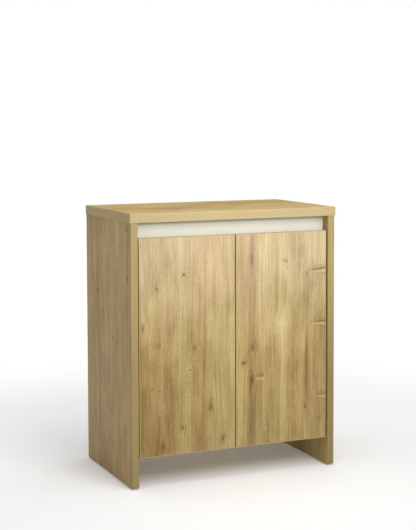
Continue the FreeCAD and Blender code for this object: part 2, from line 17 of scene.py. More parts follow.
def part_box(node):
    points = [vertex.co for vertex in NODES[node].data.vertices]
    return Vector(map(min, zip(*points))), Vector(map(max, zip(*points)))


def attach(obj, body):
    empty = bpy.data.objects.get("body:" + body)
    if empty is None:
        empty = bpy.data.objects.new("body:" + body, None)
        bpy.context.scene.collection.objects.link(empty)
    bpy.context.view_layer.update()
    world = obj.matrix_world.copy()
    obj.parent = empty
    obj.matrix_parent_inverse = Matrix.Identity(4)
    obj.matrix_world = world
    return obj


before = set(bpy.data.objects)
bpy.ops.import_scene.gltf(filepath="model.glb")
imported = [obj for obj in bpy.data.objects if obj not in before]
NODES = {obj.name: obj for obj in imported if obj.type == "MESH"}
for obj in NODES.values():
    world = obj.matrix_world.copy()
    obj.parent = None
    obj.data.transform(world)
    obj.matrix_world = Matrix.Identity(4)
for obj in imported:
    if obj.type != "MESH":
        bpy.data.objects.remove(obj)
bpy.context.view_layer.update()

bl_info = {
    "name": "Aquarium stand cabinet",
    "version": (1, 0, 0),
    "blender": (4, 5, 0),
    "location": "View3D > Sidebar > Cabinet",
    "description": "Oak laminate, edge bands, fittings and studio for an aquarium stand cabinet",
    "category": "Object",
}

MM = 0.001
SIDES = ("left", "right")
CARCASS = "carcass"

# ------------------------------------------------------------------ what the oak pattern shows
# Places on a board are in mm: across the grain from its left or front edge, and along the
# grain from its lower or left end. Tones are steps on the ramp from dark (0) to pale (1), and
# warmth goes from cool (0) to rosy (1). A knot's size is about its radius across the grain, and
# it is tall times as long along it. Its core says how solid it is, and a halo below 0 is pale.
Plank = namedtuple("Plank", "across width low high tone warm")
Knot = namedtuple("Knot", "across along size tall core halo")
Streak = namedtuple("Streak", "across low high width depth")
Check = namedtuple("Check", "tip end along slope bow depth")
Board = namedtuple("Board", "across along face warmth planks knots streaks checks seed")
BELOW, BEYOND = -200, 1000  # for what runs off a board's ends

LEFT_DOOR = Board(
    across="X", along="Z", face="Y", warmth=0.1,
    planks=(
        Plank(44, 58, BELOW, 230, -0.17, 0.75),
        Plank(40, 50, 240, 400, -0.06, 0.40),
        Plank(126, 22, 40, 420, 0.05, -0.2),
        Plank(168, 20, BELOW, 380, -0.15, 0.75),
        Plank(245, 36, BELOW, 470, 0.05, -0.2),
        Plank(110, 12, 400, BEYOND, 0.10, 0.0),
        Plank(215, 55, 430, BEYOND, 0.05, 0.6),
        Plank(36, 40, 470, BEYOND, -0.05, 0.15),
    ),
    knots=(
        Knot(127, 480, 3.6, 1.1, 0.95, 0.35),
        Knot(48, 447, 3.0, 1.2, 0.55, 0.25),
        Knot(105, 405, 3.6, 1.0, 0.25, -0.3),
        Knot(32, 400, 6.0, 2.0, 0.0, -0.5),
        Knot(8, 346, 6.0, 1.6, 0.2, 0.5),
        Knot(50, 293, 6.0, 1.3, 0.25, 0.25),
        Knot(156, 282, 4.0, 1.8, 0.35, 0.6),
        Knot(143, 223, 3.6, 1.1, 0.9, -0.3),
        Knot(140, 187, 2.6, 1.2, 0.5, 0.2),
        Knot(33, 182, 3.0, 1.5, 0.7, 0.3),
        Knot(72, 132, 8.0, 1.6, 0.0, -0.75),
        Knot(202, 119, 4.4, 2.4, 0.55, 0.9),
        Knot(121, 69, 4.4, 1.4, 0.45, 0.8),
        Knot(241, 29, 4.0, 2.4, 0.35, 0.7),
        Knot(66, 24, 5.0, 1.8, 0.3, 0.9),
    ),
    streaks=(
        Streak(182, 40, 300, 3, 0.5),
        Streak(90, 60, 225, 2.5, 0.6),
        Streak(46, BELOW, 110, 6, 0.6),
        Streak(62, BELOW, 80, 3, 0.4),
        Streak(186, 400, BEYOND, 4, 0.3),
        Streak(150, 300, 520, 2, 0.3),
        Streak(204, 60, 150, 2.5, 0.4),
        Streak(22, 230, 330, 3, 0.35),
    ),
    checks=(),
    seed=3.1,
)
RIGHT_DOOR = Board(
    across="X", along="Z", face="Y", warmth=0.0,
    planks=(
        Plank(46, 12, BELOW, 300, -0.17, 0.5),
        Plank(48, 10, 260, BEYOND, -0.12, 0.2),
        Plank(95, 34, 80, 330, -0.05, 0.4),
        Plank(142, 12, BELOW, BEYOND, 0.09, -0.2),
        Plank(184, 26, BELOW, 330, -0.06, 0.3),
        Plank(245, 26, 300, BEYOND, 0.03, -0.3),
        Plank(216, 8, 60, 400, -0.14, 0.4),
        Plank(22, 20, 380, BEYOND, 0.04, 0.9),
        Plank(100, 40, 330, 380, 0.09, 0.0),
        Plank(250, 30, BELOW, 280, -0.02, 0.3),
        Plank(238, 22, 390, 455, -0.08, 0.4),
    ),
    knots=(
        Knot(20, 229, 4.6, 1.2, 0.65, 0.8),
        Knot(32, 247, 4.0, 2.4, 0.0, 0.8),
        Knot(46, 272, 5.0, 1.6, 0.2, 0.8),
        Knot(46, 183, 5.0, 2.2, 0.35, 0.9),
        Knot(211, 93, 3.8, 1.4, 0.65, 0.8),
        Knot(216, 466, 4.5, 1.6, 0.3, 0.6),
        Knot(46, 512, 4.2, 3.4, 0.2, 0.6),
        Knot(140, 330, 9.0, 1.2, 0.0, -0.5),
        Knot(250, 52, 4.0, 1.3, 0.25, 0.3),
    ),
    streaks=(
        Streak(50, 460, BEYOND, 4, 0.5),
        Streak(40, 280, 460, 3, 0.4),
        Streak(44, BELOW, 260, 3.5, 0.6),
        Streak(208, 330, 470, 3, 0.6),
        Streak(217, 90, 330, 3.5, 0.8),
        Streak(205, BELOW, 100, 3, 0.5),
        Streak(80, 260, 440, 3, 0.35),
        Streak(176, 490, BEYOND, 5, 0.35),
        Streak(190, 440, BEYOND, 2, 0.35),
        Streak(150, 440, BEYOND, 2, 0.25),
    ),
    checks=(
        Check(212, 290, 473, 0.07, 0, 1.2),
        Check(226, 290, 327, 0.04, 0, 1.2),
        Check(44, 86, 188, 0.04, 0, 0.9),
        Check(232, 290, 122, 0.02, 0, 0.9),
        Check(128, 158, 504, 0.0, 0.03, 1.0),
    ),
    seed=8.7,
)
LEFT_SIDE = Board(
    across="Y", along="Z", face="X", warmth=0.75,
    planks=(
        Plank(60, 50, BELOW, BEYOND, 0.04, 0.0),
        Plank(200, 60, BELOW, 340, -0.05, 0.2),
        Plank(290, 40, 330, BEYOND, -0.08, 0.2),
        Plank(130, 30, 300, BEYOND, 0.05, 0.1),
        Plank(60, 26, BELOW, 100, -0.06, 0.7),
    ),
    knots=(
        Knot(264, 496, 4.6, 1.4, 0.8, 0.5),
        Knot(27, 686, 5.0, 1.9, 0.5, 0.4),
        Knot(22, 555, 3.6, 1.9, 0.5, 0.4),
        Knot(218, 440, 3.0, 2.3, 0.5, 0.4),
        Knot(31, 482, 3.4, 1.9, 0.45, 0.3),
        Knot(144, 381, 3.2, 1.9, 0.8, 0.4),
        Knot(60, 317, 3.0, 1.9, 0.4, 0.4),
        Knot(205, 150, 4.4, 1.6, 0.3, 0.5),
    ),
    streaks=(
        Streak(264, 400, 600, 3, 0.7),
        Streak(310, 480, 640, 4, 0.5),
        Streak(24, 520, 705, 4, 0.5),
        Streak(146, 260, 382, 2, 0.6),
        Streak(120, 560, 800, 4, 0.3),
        Streak(300, BELOW, 240, 5, 0.3),
        Streak(180, 60, 330, 3, 0.3),
    ),
    checks=(),
    seed=14.3,
)
RIGHT_SIDE = Board(
    across="Y", along="Z", face="X", warmth=0.3,
    planks=(
        Plank(80, 50, BELOW, BEYOND, 0.05, 0.0),
        Plank(170, 30, BELOW, 420, -0.10, 0.4),
        Plank(270, 40, 200, BEYOND, -0.05, 0.3),
        Plank(240, 26, BELOW, 200, 0.06, 0.0),
    ),
    knots=(
        Knot(90, 210, 4.6, 1.4, 0.8, 0.6),
        Knot(250, 330, 3.4, 1.4, 0.6, 0.5),
        Knot(168, 560, 4.0, 1.4, 0.75, 0.6),
        Knot(300, 120, 3.4, 1.4, 0.5, 0.4),
        Knot(52, 630, 2.8, 2.3, 0.5, 0.4),
        Knot(210, 40, 4.0, 2.3, 0.4, 0.4),
    ),
    streaks=(
        Streak(96, 150, 420, 4, 0.6),
        Streak(170, 480, 720, 4, 0.6),
        Streak(248, 100, 360, 5, 0.5),
        Streak(310, 300, 760, 4, 0.4),
    ),
    checks=(Check(230, 280, 420, 0.05, 0, 0.5),),
    seed=21.9,
)
TOP = Board(
    across="Y", along="X", face="Z", warmth=0.2,
    planks=(
        Plank(50, 40, BELOW, BEYOND, 0.05, 0.1),
        Plank(150, 40, BELOW, 330, -0.10, 0.4),
        Plank(240, 40, 260, BEYOND, -0.06, 0.3),
        Plank(310, 30, BELOW, 400, 0.05, 0.0),
    ),
    knots=(
        Knot(96, 170, 4.6, 2.3, 0.8, 0.6),
        Knot(250, 430, 3.8, 1.4, 0.7, 0.6),
        Knot(180, 300, 3.2, 1.4, 0.5, 0.4),
        Knot(300, 90, 3.4, 2.3, 0.6, 0.5),
        Knot(60, 520, 3.0, 1.4, 0.5, 0.4),
    ),
    streaks=(
        Streak(100, 60, 360, 4, 0.6),
        Streak(246, 300, 660, 4, 0.6),
        Streak(310, BELOW, 220, 4, 0.5),
        Streak(40, 380, 700, 4, 0.4),
    ),
    checks=(Check(120, 160, 240, 0.05, 0, 0.4),),
    seed=30.2,
)
BACK = Board(
    across="X", along="Z", face="Y", warmth=0.2,
    planks=(
        Plank(70, 60, BELOW, BEYOND, -0.08, 0.3),
        Plank(200, 40, 200, BEYOND, 0.05, 0.0),
        Plank(330, 50, BELOW, 420, -0.12, 0.5),
        Plank(450, 40, BELOW, BEYOND, 0.05, 0.1),
    ),
    knots=(
        Knot(130, 420, 4.4, 2.3, 0.8, 0.6),
        Knot(330, 250, 4.8, 1.4, 0.7, 0.6),
        Knot(470, 120, 3.8, 2.3, 0.7, 0.5),
        Knot(420, 560, 3.2, 1.4, 0.5, 0.4),
        Knot(60, 160, 3.6, 1.4, 0.6, 0.5),
        Knot(250, 500, 3.0, 2.3, 0.5, 0.4),
    ),
    streaks=(
        Streak(128, 300, 520, 4, 0.6),
        Streak(336, 60, 300, 5, 0.6),
        Streak(468, 20, 240, 4, 0.6),
        Streak(230, 380, 700, 4, 0.4),
        Streak(520, 300, 700, 5, 0.5),
    ),
    checks=(Check(300, 340, 400, 0.05, 0, 0.4),),
    seed=41.4,
)
SHELVES = Board(
    across="Y", along="X", face="Z", warmth=0.2,
    planks=(
        Plank(90, 50, BELOW, BEYOND, 0.05, 0.1),
        Plank(220, 40, BELOW, 400, -0.08, 0.4),
    ),
    knots=(
        Knot(80, 140, 3.8, 1.4, 0.7, 0.6),
        Knot(190, 400, 3.4, 2.3, 0.6, 0.5),
        Knot(240, 220, 2.8, 1.4, 0.5, 0.4),
    ),
    streaks=(
        Streak(84, 60, 300, 4, 0.6),
        Streak(200, 280, 640, 4, 0.5),
    ),
    checks=(),
    seed=52.6,
)


# ------------------------------------------------------------------ shader expressions
class Wire:
    """A node's output that can be written into an expression."""

    def __init__(self, graph, socket):
        self.graph = graph
        self.socket = socket

    def _math(self, operation, *values):
        return self.graph.node("ShaderNodeMath", {"operation": operation}, dict(enumerate(values)))

    def __add__(self, other):
        return self._math("ADD", self, other)

    def __sub__(self, other):
        return self._math("SUBTRACT", self, other)

    def __rsub__(self, other):
        return self._math("SUBTRACT", other, self)

    def __mul__(self, other):
        return self._math("MULTIPLY", self, other)

    def __abs__(self):
        return self._math("ABSOLUTE", self)

    __radd__ = __add__
    __rmul__ = __mul__

    def exp(self):
        """e to the power of this value."""
        return self._math("EXPONENT", self)

    def highest(self, other):
        """The larger of two values."""
        return self._math("MAXIMUM", self, other)

    def ease(self, low, high):
        """0 at low and 1 at high, with a smooth run between; low may be the larger."""
        sockets = {"Value": self, "From Min": low, "From Max": high}
        return self.graph.node("ShaderNodeMapRange", {"interpolation_type": "SMOOTHSTEP"}, sockets)


class Graph:
    """A node tree, and the one way in which nodes are added to it."""

    def __init__(self, tree):
        self.tree = tree

    def node(self, kind, settings=(), sockets=(), output=0):
        """Adds a node: its settings first, then a value or a wire for each socket."""
        made = self.tree.nodes.new(kind)
        for key, value in dict(settings).items():
            if key == "stops":
                self.fill_ramp(made.color_ramp, value)
            else:
                setattr(made, key, value)
        for key, value in dict(sockets).items():
            self.feed(made.inputs[key], value)
        return Wire(self, made.outputs[output])

    def feed(self, socket, value):
        """Links a wire to a socket, or sets the socket's own value."""
        if isinstance(value, Wire):
            self.tree.links.new(value.socket, socket)
        else:
            socket.default_value = value

    def fill_ramp(self, ramp, stops):
        """Gives a colour ramp its (place, colour) stops."""
        while len(ramp.elements) < len(stops):
            ramp.elements.new(1.0)
        for element, (place, colour) in zip(ramp.elements, stops):
            element.position = place
            element.color = (*colour, 1.0)

    def split(self, vector):
        """The three parts of a vector, by axis name."""
        first = self.node("ShaderNodeSeparateXYZ", sockets={0: vector})
        return {axis: Wire(self, out) for axis, out in zip("XYZ", first.socket.node.outputs)}

    def noise(self, parts, detail=2.0, rough=0.5):
        """Noise at a place given as three numbers or wires, near 0.5 on average."""
        place = self.node("ShaderNodeCombineXYZ", sockets=dict(enumerate(parts)))
        sockets = {"Vector": place, "Scale": 1.0, "Detail": detail, "Roughness": rough}
        return self.node("ShaderNodeTexNoise", sockets=sockets)

    def blend(self, share, first, second, mode="MIX"):
        """Mixes two colours."""
        settings = {"data_type": "RGBA", "blend_type": mode, "clamp_factor": True}
        return self.node("ShaderNodeMix", settings, {0: share, 6: tint(first), 7: tint(second)}, output=2)

    def shaded(self, colour, shade):
        """A colour made lighter or darker by a wire."""
        grey = self.node("ShaderNodeCombineXYZ", sockets={0: shade, 1: shade, 2: shade})
        return self.blend(1.0, colour, grey, "MULTIPLY")


def tint(colour):
    """A colour as a socket takes it: a wire as it is, and three numbers with an alpha."""
    return colour if isinstance(colour, Wire) else (*colour, 1.0)


class Finish(Graph):
    """A material whose shader takes values and wires by socket name."""

    def __init__(self, name):
        self.material = bpy.data.materials.new(name)
        self.material.use_nodes = True
        super().__init__(self.material.node_tree)
        self.shader = self.tree.nodes["Principled BSDF"]

    def place(self):
        """Where a point is on the piece, in mm, by axis name."""
        parts = self.split(self.node("ShaderNodeTexCoord", output="Object"))
        return {axis: part * (1 / MM) for axis, part in parts.items()}

    def facing(self):
        """How far a face looks along each axis, from 0 to 1."""
        parts = self.split(self.node("ShaderNodeTexCoord", output="Normal"))
        return {axis: abs(part) for axis, part in parts.items()}

    def even_noise(self, place, per_mm, detail=2.0):
        """Noise that swings as fast along every axis."""
        return self.noise([place[axis] * per_mm for axis in "XYZ"], detail)

    def relief(self, height, depth):
        """Bumps the surface by a height from 0 to 1, depth mm deep."""
        bump = self.node("ShaderNodeBump", sockets={"Height": height, "Distance": depth * MM})
        self.feed(self.shader.inputs["Normal"], bump)

    def paint(self, **sockets):
        """Feeds the shader's sockets; an underscore in a name stands for a space."""
        for key, value in sockets.items():
            if key.endswith("Color"):
                value = tint(value)
            self.feed(self.shader.inputs[key.replace("_", " ")], value)
        return self.material


def cover(material, *names):
    """Puts a finish on CAD nodes."""
    for name in names:
        for slot in NODES[name].material_slots:
            slot.material = material


# ------------------------------------------------------------------ what all boards share
SATIN_GLOSS = 0.28
CHIP_COLOURS = [(0.0, (0.20, 0.12, 0.06)), (0.45, (0.42, 0.29, 0.16)), (1.0, (0.60, 0.46, 0.29))]
CHIPS_PER_MM, SPECKS_PER_MM = 0.55, 0.9
CHIP_HEIGHT = 3  # of sawn chips, against the print's relief
FACE_EDGE = (0.5, 0.9)  # how squarely a face must look along its axis to count as laminated
RAW_ROUGH = 0.9


def raw_chipboard(finish, place):
    """The colour of a sawn particle-board edge, and its height."""
    spot = finish.node("ShaderNodeCombineXYZ", sockets={0: place["X"], 1: place["Y"], 2: place["Z"]})
    sockets = {"Vector": spot, "Scale": CHIPS_PER_MM}
    height = finish.split(finish.node("ShaderNodeTexVoronoi", {"feature": "F1"}, sockets, "Color"))["X"]
    specks = finish.even_noise(place, SPECKS_PER_MM, detail=3.0)
    mottle = height * 0.55 + specks * 0.45
    return finish.node("ShaderNodeValToRGB", {"stops": CHIP_COLOURS}, {0: mottle}), height


# ------------------------------------------------------------------ oak laminate
# The grain is made of layers of noise. Each has the width and height of its patches in mm, and
# how much it adds to the tone.
Layer = namedtuple("Layer", "wide tall detail rough weight")
LAYERS = {
    "clouds": Layer(50, 110, 3.0, 0.5, 0.55),
    "bands": Layer(16, 500, 1.0, 0.5, 0.40),
    "ribbons": Layer(5.0, 260, 2.0, 0.6, 0.60),
    "lines": Layer(2.4, 90, 2.0, 0.6, 0.52),
    "flecks": Layer(3.2, 9, 1.0, 0.5, 0.28),
    "pores": Layer(0.8, 12, 1.0, 0.5, -0.12),
    "growth": Layer(30, 600, 0.0, 0.5, -0.07),
}
MIDDLE_TONE = 0.64
STREAK_TONE, HALO_TONE = -0.45, -0.26
TONE_STOPS = (0.0, 0.38, 0.66, 1.0)  # where the ramp is dark, brown, body and pale
PORE_EDGE = (0.10, 0.22)
GROWTH_RINGS = 26  # in one full swing of their noise
RING_DARKENS, RING_ENDS = (0.30, 0.90), (0.90, 1.0)

# Warmth that the layers add to a board's own, and the warmth from which the rosy cast comes in.
CLOUD_WARMTH, STREAK_WARMTH, HALO_WARMTH = 1.6, 0.5, 0.3
WARM_RANGE = (-0.2, 1.0)

# Slow bends of the whole grain and quick wandering of its outlines, in mm.
DRIFT, DRIFT_WIDE, DRIFT_TALL = 12, 80, 300
WANDER_ASIDE, WANDER_BEYOND, WANDER_WIDE, WANDER_TALL = 9, 16, 9, 14
PLANK_WANDER, CHECK_WANDER = 0.5, 0.4  # shares of it that planks, streaks and splits follow

PLANK_SOFT_SIDE, PLANK_SOFT_END, PLANK_END_WANDER = 8, 100, 300  # mm
STREAK_SOFT_END = 40  # mm
STREAK_RAGGED = (-0.4, 0.2)
KNOT_BEND = 0.7  # how far a knot pushes the grain aside
BEND_REACH, HALO_REACH = 3.0, 1.9  # in sizes of the knot
KNOT_EDGE = (2.0, 0.15)  # from outside a core to solid knot, in squares of the knot's size
KNOT_ROUND, KNOT_RAGGED = 0.3, 2
# Painted light: between these heights a door is made paler towards its top. This stands in for the stronger
# light and satin haze there.
TOP_LIGHT_FROM, TOP_LIGHT_TO, TOP_LIGHT_WANDER = 222, 631, 200  # mm up a door

# A split is a wedge, sharp at its tip and wider at its mouth, that starts and ends over some mm.
TIP_SHARP, MOUTH_SHARP, WEDGE_DEPTH = 0.34, 0.08, 0.62
CHECK_START, CHECK_END = 28, 6
# Lines follow it: mm below it, mm further below at its mouth, width in mm, strength, and whether
# the line only grows as the split opens.
Line = namedtuple("Line", "drop spread width depth opens")
CHECK_SHADES = (Line(-2, 0, 6.5, 0.22, False), Line(8, 8, 3.4, 0.40, True), Line(-8, 0, 4.0, 0.22, True))
CHECK_LIP = Line(3, 4, 4.6, 1.4, False)
LIP_SHARE, SPLIT_SHARE = 0.4, 0.8  # of the pale and dark colours that they take

# What the press plate leaves: dips at pores, knots and splits, and a rise on the fine lines.
PORE_DIP, LINE_RISE, KNOT_DIP, CHECK_DIP = 0.8, 0.35, 0.5, 0.4
LINE_ROUGH, PORE_ROUGH = 0.25, 0.12

Figure = namedtuple("Figure", "grain planks warm streaks core halo dark_check pale_check")


def hump(distance, width):
    """1 at no distance, falling smoothly to nothing a few widths away."""
    return (distance * distance * (-1 / width ** 2)).exp()


def within(value, low, high, soft):
    """1 between low and high, with soft ends."""
    return value.ease(low - soft, low + soft) * value.ease(high + soft, high - soft)


def grain_layers(finish, across, along, seed):
    """The layers of noise, 0 on average, with pores and growth rings drawn from theirs."""
    grain = {}
    for number, (name, layer) in enumerate(LAYERS.items(), start=1):
        spot = (across * (1 / layer.wide), along * (1 / layer.tall), seed + number)
        grain[name] = finish.noise(spot, layer.detail, layer.rough) - 0.5
    grain["pores"] = grain["pores"].ease(*PORE_EDGE)
    ring = finish.node("ShaderNodeMath", {"operation": "FRACT"}, {0: grain["growth"] * GROWTH_RINGS})
    grain["growth"] = ring.ease(*RING_DARKENS) * (1 - ring.ease(*RING_ENDS))
    return grain


def plank_tones(across, along, planks):
    """Broad soft columns of paler or darker, cooler or warmer wood."""
    tone = 0.0
    warm = 0.0
    for plank in planks:
        share = within(across, plank.across - plank.width, plank.across + plank.width, PLANK_SOFT_SIDE)
        share = share * within(along, plank.low, plank.high, PLANK_SOFT_END)
        tone = tone + share * plank.tone
        warm = warm + share * plank.warm
    return tone, warm


def around_knots(across, along, knots, ragged):
    """How knots bend the grain, how much of each point is knot, and how much darker its halo is."""
    shift = 0.0
    core = 0.0
    halo = 0.0
    for knot in knots:
        aside = across - knot.across
        beyond = (along - knot.along) * (1 / knot.tall)
        spread = aside * aside + beyond * beyond
        pull = (spread * (-1 / (BEND_REACH * knot.size) ** 2)).exp()
        shift = shift + aside * pull * KNOT_BEND
        halo = halo + (spread * (-1 / (HALO_REACH * knot.size) ** 2)).exp() * knot.halo
        if knot.core:
            outer, inner = (edge * knot.size ** 2 for edge in KNOT_EDGE)
            core = ((spread * ragged).ease(outer, inner) * knot.core).highest(core)
    return shift, core, halo


def along_streaks(across, along, streaks, ragged):
    """How dark the long brown streaks make a point."""
    dark = 0.0
    for streak in streaks:
        ends = within(along, streak.low + STREAK_SOFT_END, streak.high - STREAK_SOFT_END, STREAK_SOFT_END)
        dark = dark + hump(across - streak.across, streak.width) * ends * streak.depth
    return dark * ragged


def beside_check(rise, opening, run, line):
    """How strongly a line that follows a split shows."""
    shown = hump(rise + opening * line.spread + line.drop, line.width) * run * line.depth
    return shown * opening if line.opens else shown


def across_checks(across, along, checks):
    """Short splits across the grain: a dark wedge that opens from its tip, with a pale lip under it."""
    dark = 0.0
    pale = 0.0
    for check in checks:
        starts = across.ease(check.tip, check.tip + CHECK_START)
        run = starts * across.ease(check.end, check.end - CHECK_END) * check.depth
        opening = across.ease(check.tip, check.end)
        rise = along - check.along - (across - check.tip) * check.slope
        if check.bow:
            aside = across - (check.tip + check.end) / 2
            rise = rise + aside * aside * check.bow
        wedge = (rise * rise * (opening * (TIP_SHARP - MOUTH_SHARP) - TIP_SHARP)).exp()
        dark = dark + wedge * run * WEDGE_DEPTH
        for line in CHECK_SHADES:
            dark = dark + beside_check(rise, opening, run, line)
        pale = pale + beside_check(rise, opening, run, CHECK_LIP)
    return dark, pale


def oak_figure(finish, board, across, along):
    """Everything that the print shows at a point of a board."""
    slow = (across * (1 / DRIFT_WIDE), along * (1 / DRIFT_TALL), board.seed)
    drift = (finish.noise(slow, detail=1.0) - 0.5) * DRIFT
    quick = {0: across * (1 / WANDER_WIDE), 1: along * (1 / WANDER_TALL), 2: board.seed}
    spot = finish.node("ShaderNodeCombineXYZ", sockets=quick)
    noise = finish.node("ShaderNodeTexNoise", sockets={"Vector": spot, "Scale": 1.0}, output="Color")
    wander = finish.split(noise)
    aside = (wander["X"] - 0.5) * WANDER_ASIDE
    beyond = (wander["Y"] - 0.5) * WANDER_BEYOND

    ragged = wander["Z"] * KNOT_RAGGED + KNOT_ROUND
    shift, core, halo = around_knots(across + aside, along + beyond, board.knots, ragged)
    grain = grain_layers(finish, across - shift + drift, along, board.seed)

    loose = across + drift + aside * PLANK_WANDER
    planks, warm = plank_tones(loose, along + grain["clouds"] * PLANK_END_WANDER, board.planks)
    broken = (grain["ribbons"] + grain["clouds"]).ease(*STREAK_RAGGED)
    streaks = along_streaks(loose, along, board.streaks, broken)
    dark_check, pale_check = across_checks(across, along + beyond * CHECK_WANDER, board.checks)
    return Figure(grain, planks, warm, streaks, core, halo, dark_check, pale_check)


def oak_colour(finish, board, along, figure, look, painted_top_light):
    """The colour of the print, from dark grain to pale, with its warm parts, splits and knots."""
    grain = figure.grain
    tone = sum(grain[name] * layer.weight for name, layer in LAYERS.items()) + MIDDLE_TONE
    tone = tone + figure.planks * look.planks + figure.streaks * STREAK_TONE + figure.halo * HALO_TONE
    stops = list(zip(TONE_STOPS, (look.dark, look.brown, look.body, look.pale)))
    colour = finish.node("ShaderNodeValToRGB", {"stops": stops}, {0: tone})

    warm = figure.warm * look.planks + board.warmth + grain["clouds"] * CLOUD_WARMTH
    warm = warm + figure.streaks * STREAK_WARMTH + figure.halo * HALO_WARMTH
    colour = finish.blend(warm.ease(*WARM_RANGE), colour, finish.blend(1.0, colour, look.rosy, "MULTIPLY"))
    # Painted light: a pale cast is added towards the doors' tops, where the light falls stronger and the
    # satin catches a haze.
    if painted_top_light:
        high = (along + grain["clouds"] * TOP_LIGHT_WANDER).ease(TOP_LIGHT_FROM, TOP_LIGHT_TO)
        colour = finish.blend(high * painted_top_light, colour, look.painted_top_light, "ADD")
    colour = finish.blend(figure.pale_check * LIP_SHARE, colour, look.pale)
    colour = finish.blend(figure.dark_check * SPLIT_SHARE, colour, look.dark)
    return finish.blend(figure.core, colour, look.knot)


def oak_laminate(name, board, corner, look, painted_top_light=0.0):
    """Printed oak on a board, with pores pressed into it, and raw chipboard on its other faces."""
    finish = Finish(name)
    place = finish.place()
    across = place[board.across] - corner["XYZ".index(board.across)] / MM
    along = place[board.along] - corner["XYZ".index(board.along)] / MM
    figure = oak_figure(finish, board, across, along)
    pores = figure.grain["pores"]
    lines = figure.grain["lines"]

    chips, chip_height = raw_chipboard(finish, place)
    laminated = finish.facing()[board.face].ease(*FACE_EDGE)
    height = (1 - pores * PORE_DIP) + lines * LINE_RISE
    height = height - figure.core * KNOT_DIP - figure.dark_check * CHECK_DIP
    finish.relief(height * laminated + chip_height * (1 - laminated) * CHIP_HEIGHT, look.pore_depth)
    rough = look.sheen + lines * LINE_ROUGH + pores * PORE_ROUGH
    return finish.paint(
        Base_Color=finish.blend(laminated, chips, oak_colour(finish, board, along, figure, look, painted_top_light)),
        Roughness=rough * laminated + (1 - laminated) * RAW_ROUGH,
        Specular_IOR_Level=SATIN_GLOSS,
    )


# ------------------------------------------------------------------ other finishes
PRINT_LONG, PRINT_FINE, BAND_CLOUD = 160, 3.2, 90  # mm
# Painted shade: below this span a band is darkened towards its foot, where less light reaches it.
FOOT_SHADE_SPAN = (250, 560)  # mm above the floor between which a band gains its full tone
# Painted shadow: the strip along the rail's top that the top board above shades.
TOP_SHADOW_HIGH, TOP_SHADOW_LOW, TOP_SHADOW_DEPTH = 2, 12, 0.55  # mm below the rail's top, and how dark
DIMPLES_PER_MM, MELAMINE_CLOUD = 0.8, 60
WEAR_SIZE, WEAR_EDGE = 6, (0.42, 0.68)
SCUFFS_PER_MM, SCUFF_EDGE = {"X": 0.3, "Y": 0.05, "Z": 0.3}, (0.60, 0.75)
FLECK_SIZE, FLECK_EDGE = 0.9, (0.55, 0.70)


def edge_band_finish(name, along, colour, seed, painted_foot_shade=1.0):
    """Plain ABS band with faint print lines along it, darkened towards its foot by painted shade."""
    finish = Finish(name)
    place = finish.place()
    scale = {axis: 1 / (PRINT_LONG if axis == along else PRINT_FINE) for axis in "XYZ"}
    print_lines = finish.noise([place[axis] * scale[axis] + seed for axis in "XYZ"], detail=3.0, rough=0.6)
    cloud = finish.noise([place[axis] * (1 / BAND_CLOUD) + seed for axis in "XYZ"], detail=1.0)
    shade = 0.80 + print_lines * 0.30 + cloud * 0.12
    # Painted shade: the band is darker towards its foot.
    if painted_foot_shade != 1.0:
        shade = shade * (painted_foot_shade + place["Z"].ease(*FOOT_SHADE_SPAN) * (1 - painted_foot_shade))
    finish.relief(print_lines, depth=0.03)
    return finish.paint(
        Base_Color=finish.shaded(colour, shade),
        Roughness=0.45 + (print_lines - 0.5) * 0.3,
        Specular_IOR_Level=SATIN_GLOSS,
    )


def melamine_finish(name, colour, board_face, top):
    """Off-white melamine with a press plate's dimples, painted shadow under the top board along its top,
    and sawn ends.
    """
    finish = Finish(name)
    place = finish.place()
    dimples = finish.even_noise(place, DIMPLES_PER_MM)
    # Painted shadow under the top board's overhang, which darkens the rail's top.
    painted_top_shadow = place["Z"].ease(top - TOP_SHADOW_LOW, top - TOP_SHADOW_HIGH)
    shade = (0.94 + finish.even_noise(place, 1 / MELAMINE_CLOUD) * 0.10) * (1 - painted_top_shadow * TOP_SHADOW_DEPTH)
    chips, chip_height = raw_chipboard(finish, place)
    faced = finish.facing()[board_face].ease(*FACE_EDGE)
    finish.relief(dimples * faced + chip_height * (1 - faced) * CHIP_HEIGHT, depth=0.04)
    return finish.paint(
        Base_Color=finish.blend(faced, chips, finish.shaded(colour, shade)),
        Roughness=0.38 + (dimples - 0.5) * 0.2,
        Specular_IOR_Level=0.5,
    )


def metal_finish(name, colour, rough, grit):
    """Plated or cast metal: cloudy roughness, and fine grit of a given size in mm."""
    finish = Finish(name)
    place = finish.place()
    grain = finish.even_noise(place, 1 / grit)
    worn = finish.even_noise(place, 1 / WEAR_SIZE).ease(*WEAR_EDGE)
    finish.relief(grain, depth=0.012)
    return finish.paint(
        Base_Color=finish.blend(worn * 0.35, colour, [part * 0.72 for part in colour]),
        Metallic=1.0,
        Roughness=rough + (grain - 0.5) * 0.15 + worn * 0.08,
    )


def plastic_finish(name, colour, rough, grit):
    """Moulded plastic with a sparked texture, of grit mm, and slight scuffs."""
    finish = Finish(name)
    place = finish.place()
    spark = finish.even_noise(place, 1 / grit)
    scuff = finish.noise([place[axis] * SCUFFS_PER_MM[axis] for axis in "XYZ"], detail=3.0)
    scuff = scuff.ease(*SCUFF_EDGE)
    finish.relief(spark, depth=0.03)
    return finish.paint(
        Base_Color=finish.blend(scuff * 0.25, colour, [min(1.0, part * 1.35 + 0.02) for part in colour]),
        Roughness=rough + (spark - 0.5) * 0.2 + scuff * 0.1,
        Specular_IOR_Level=0.45,
    )


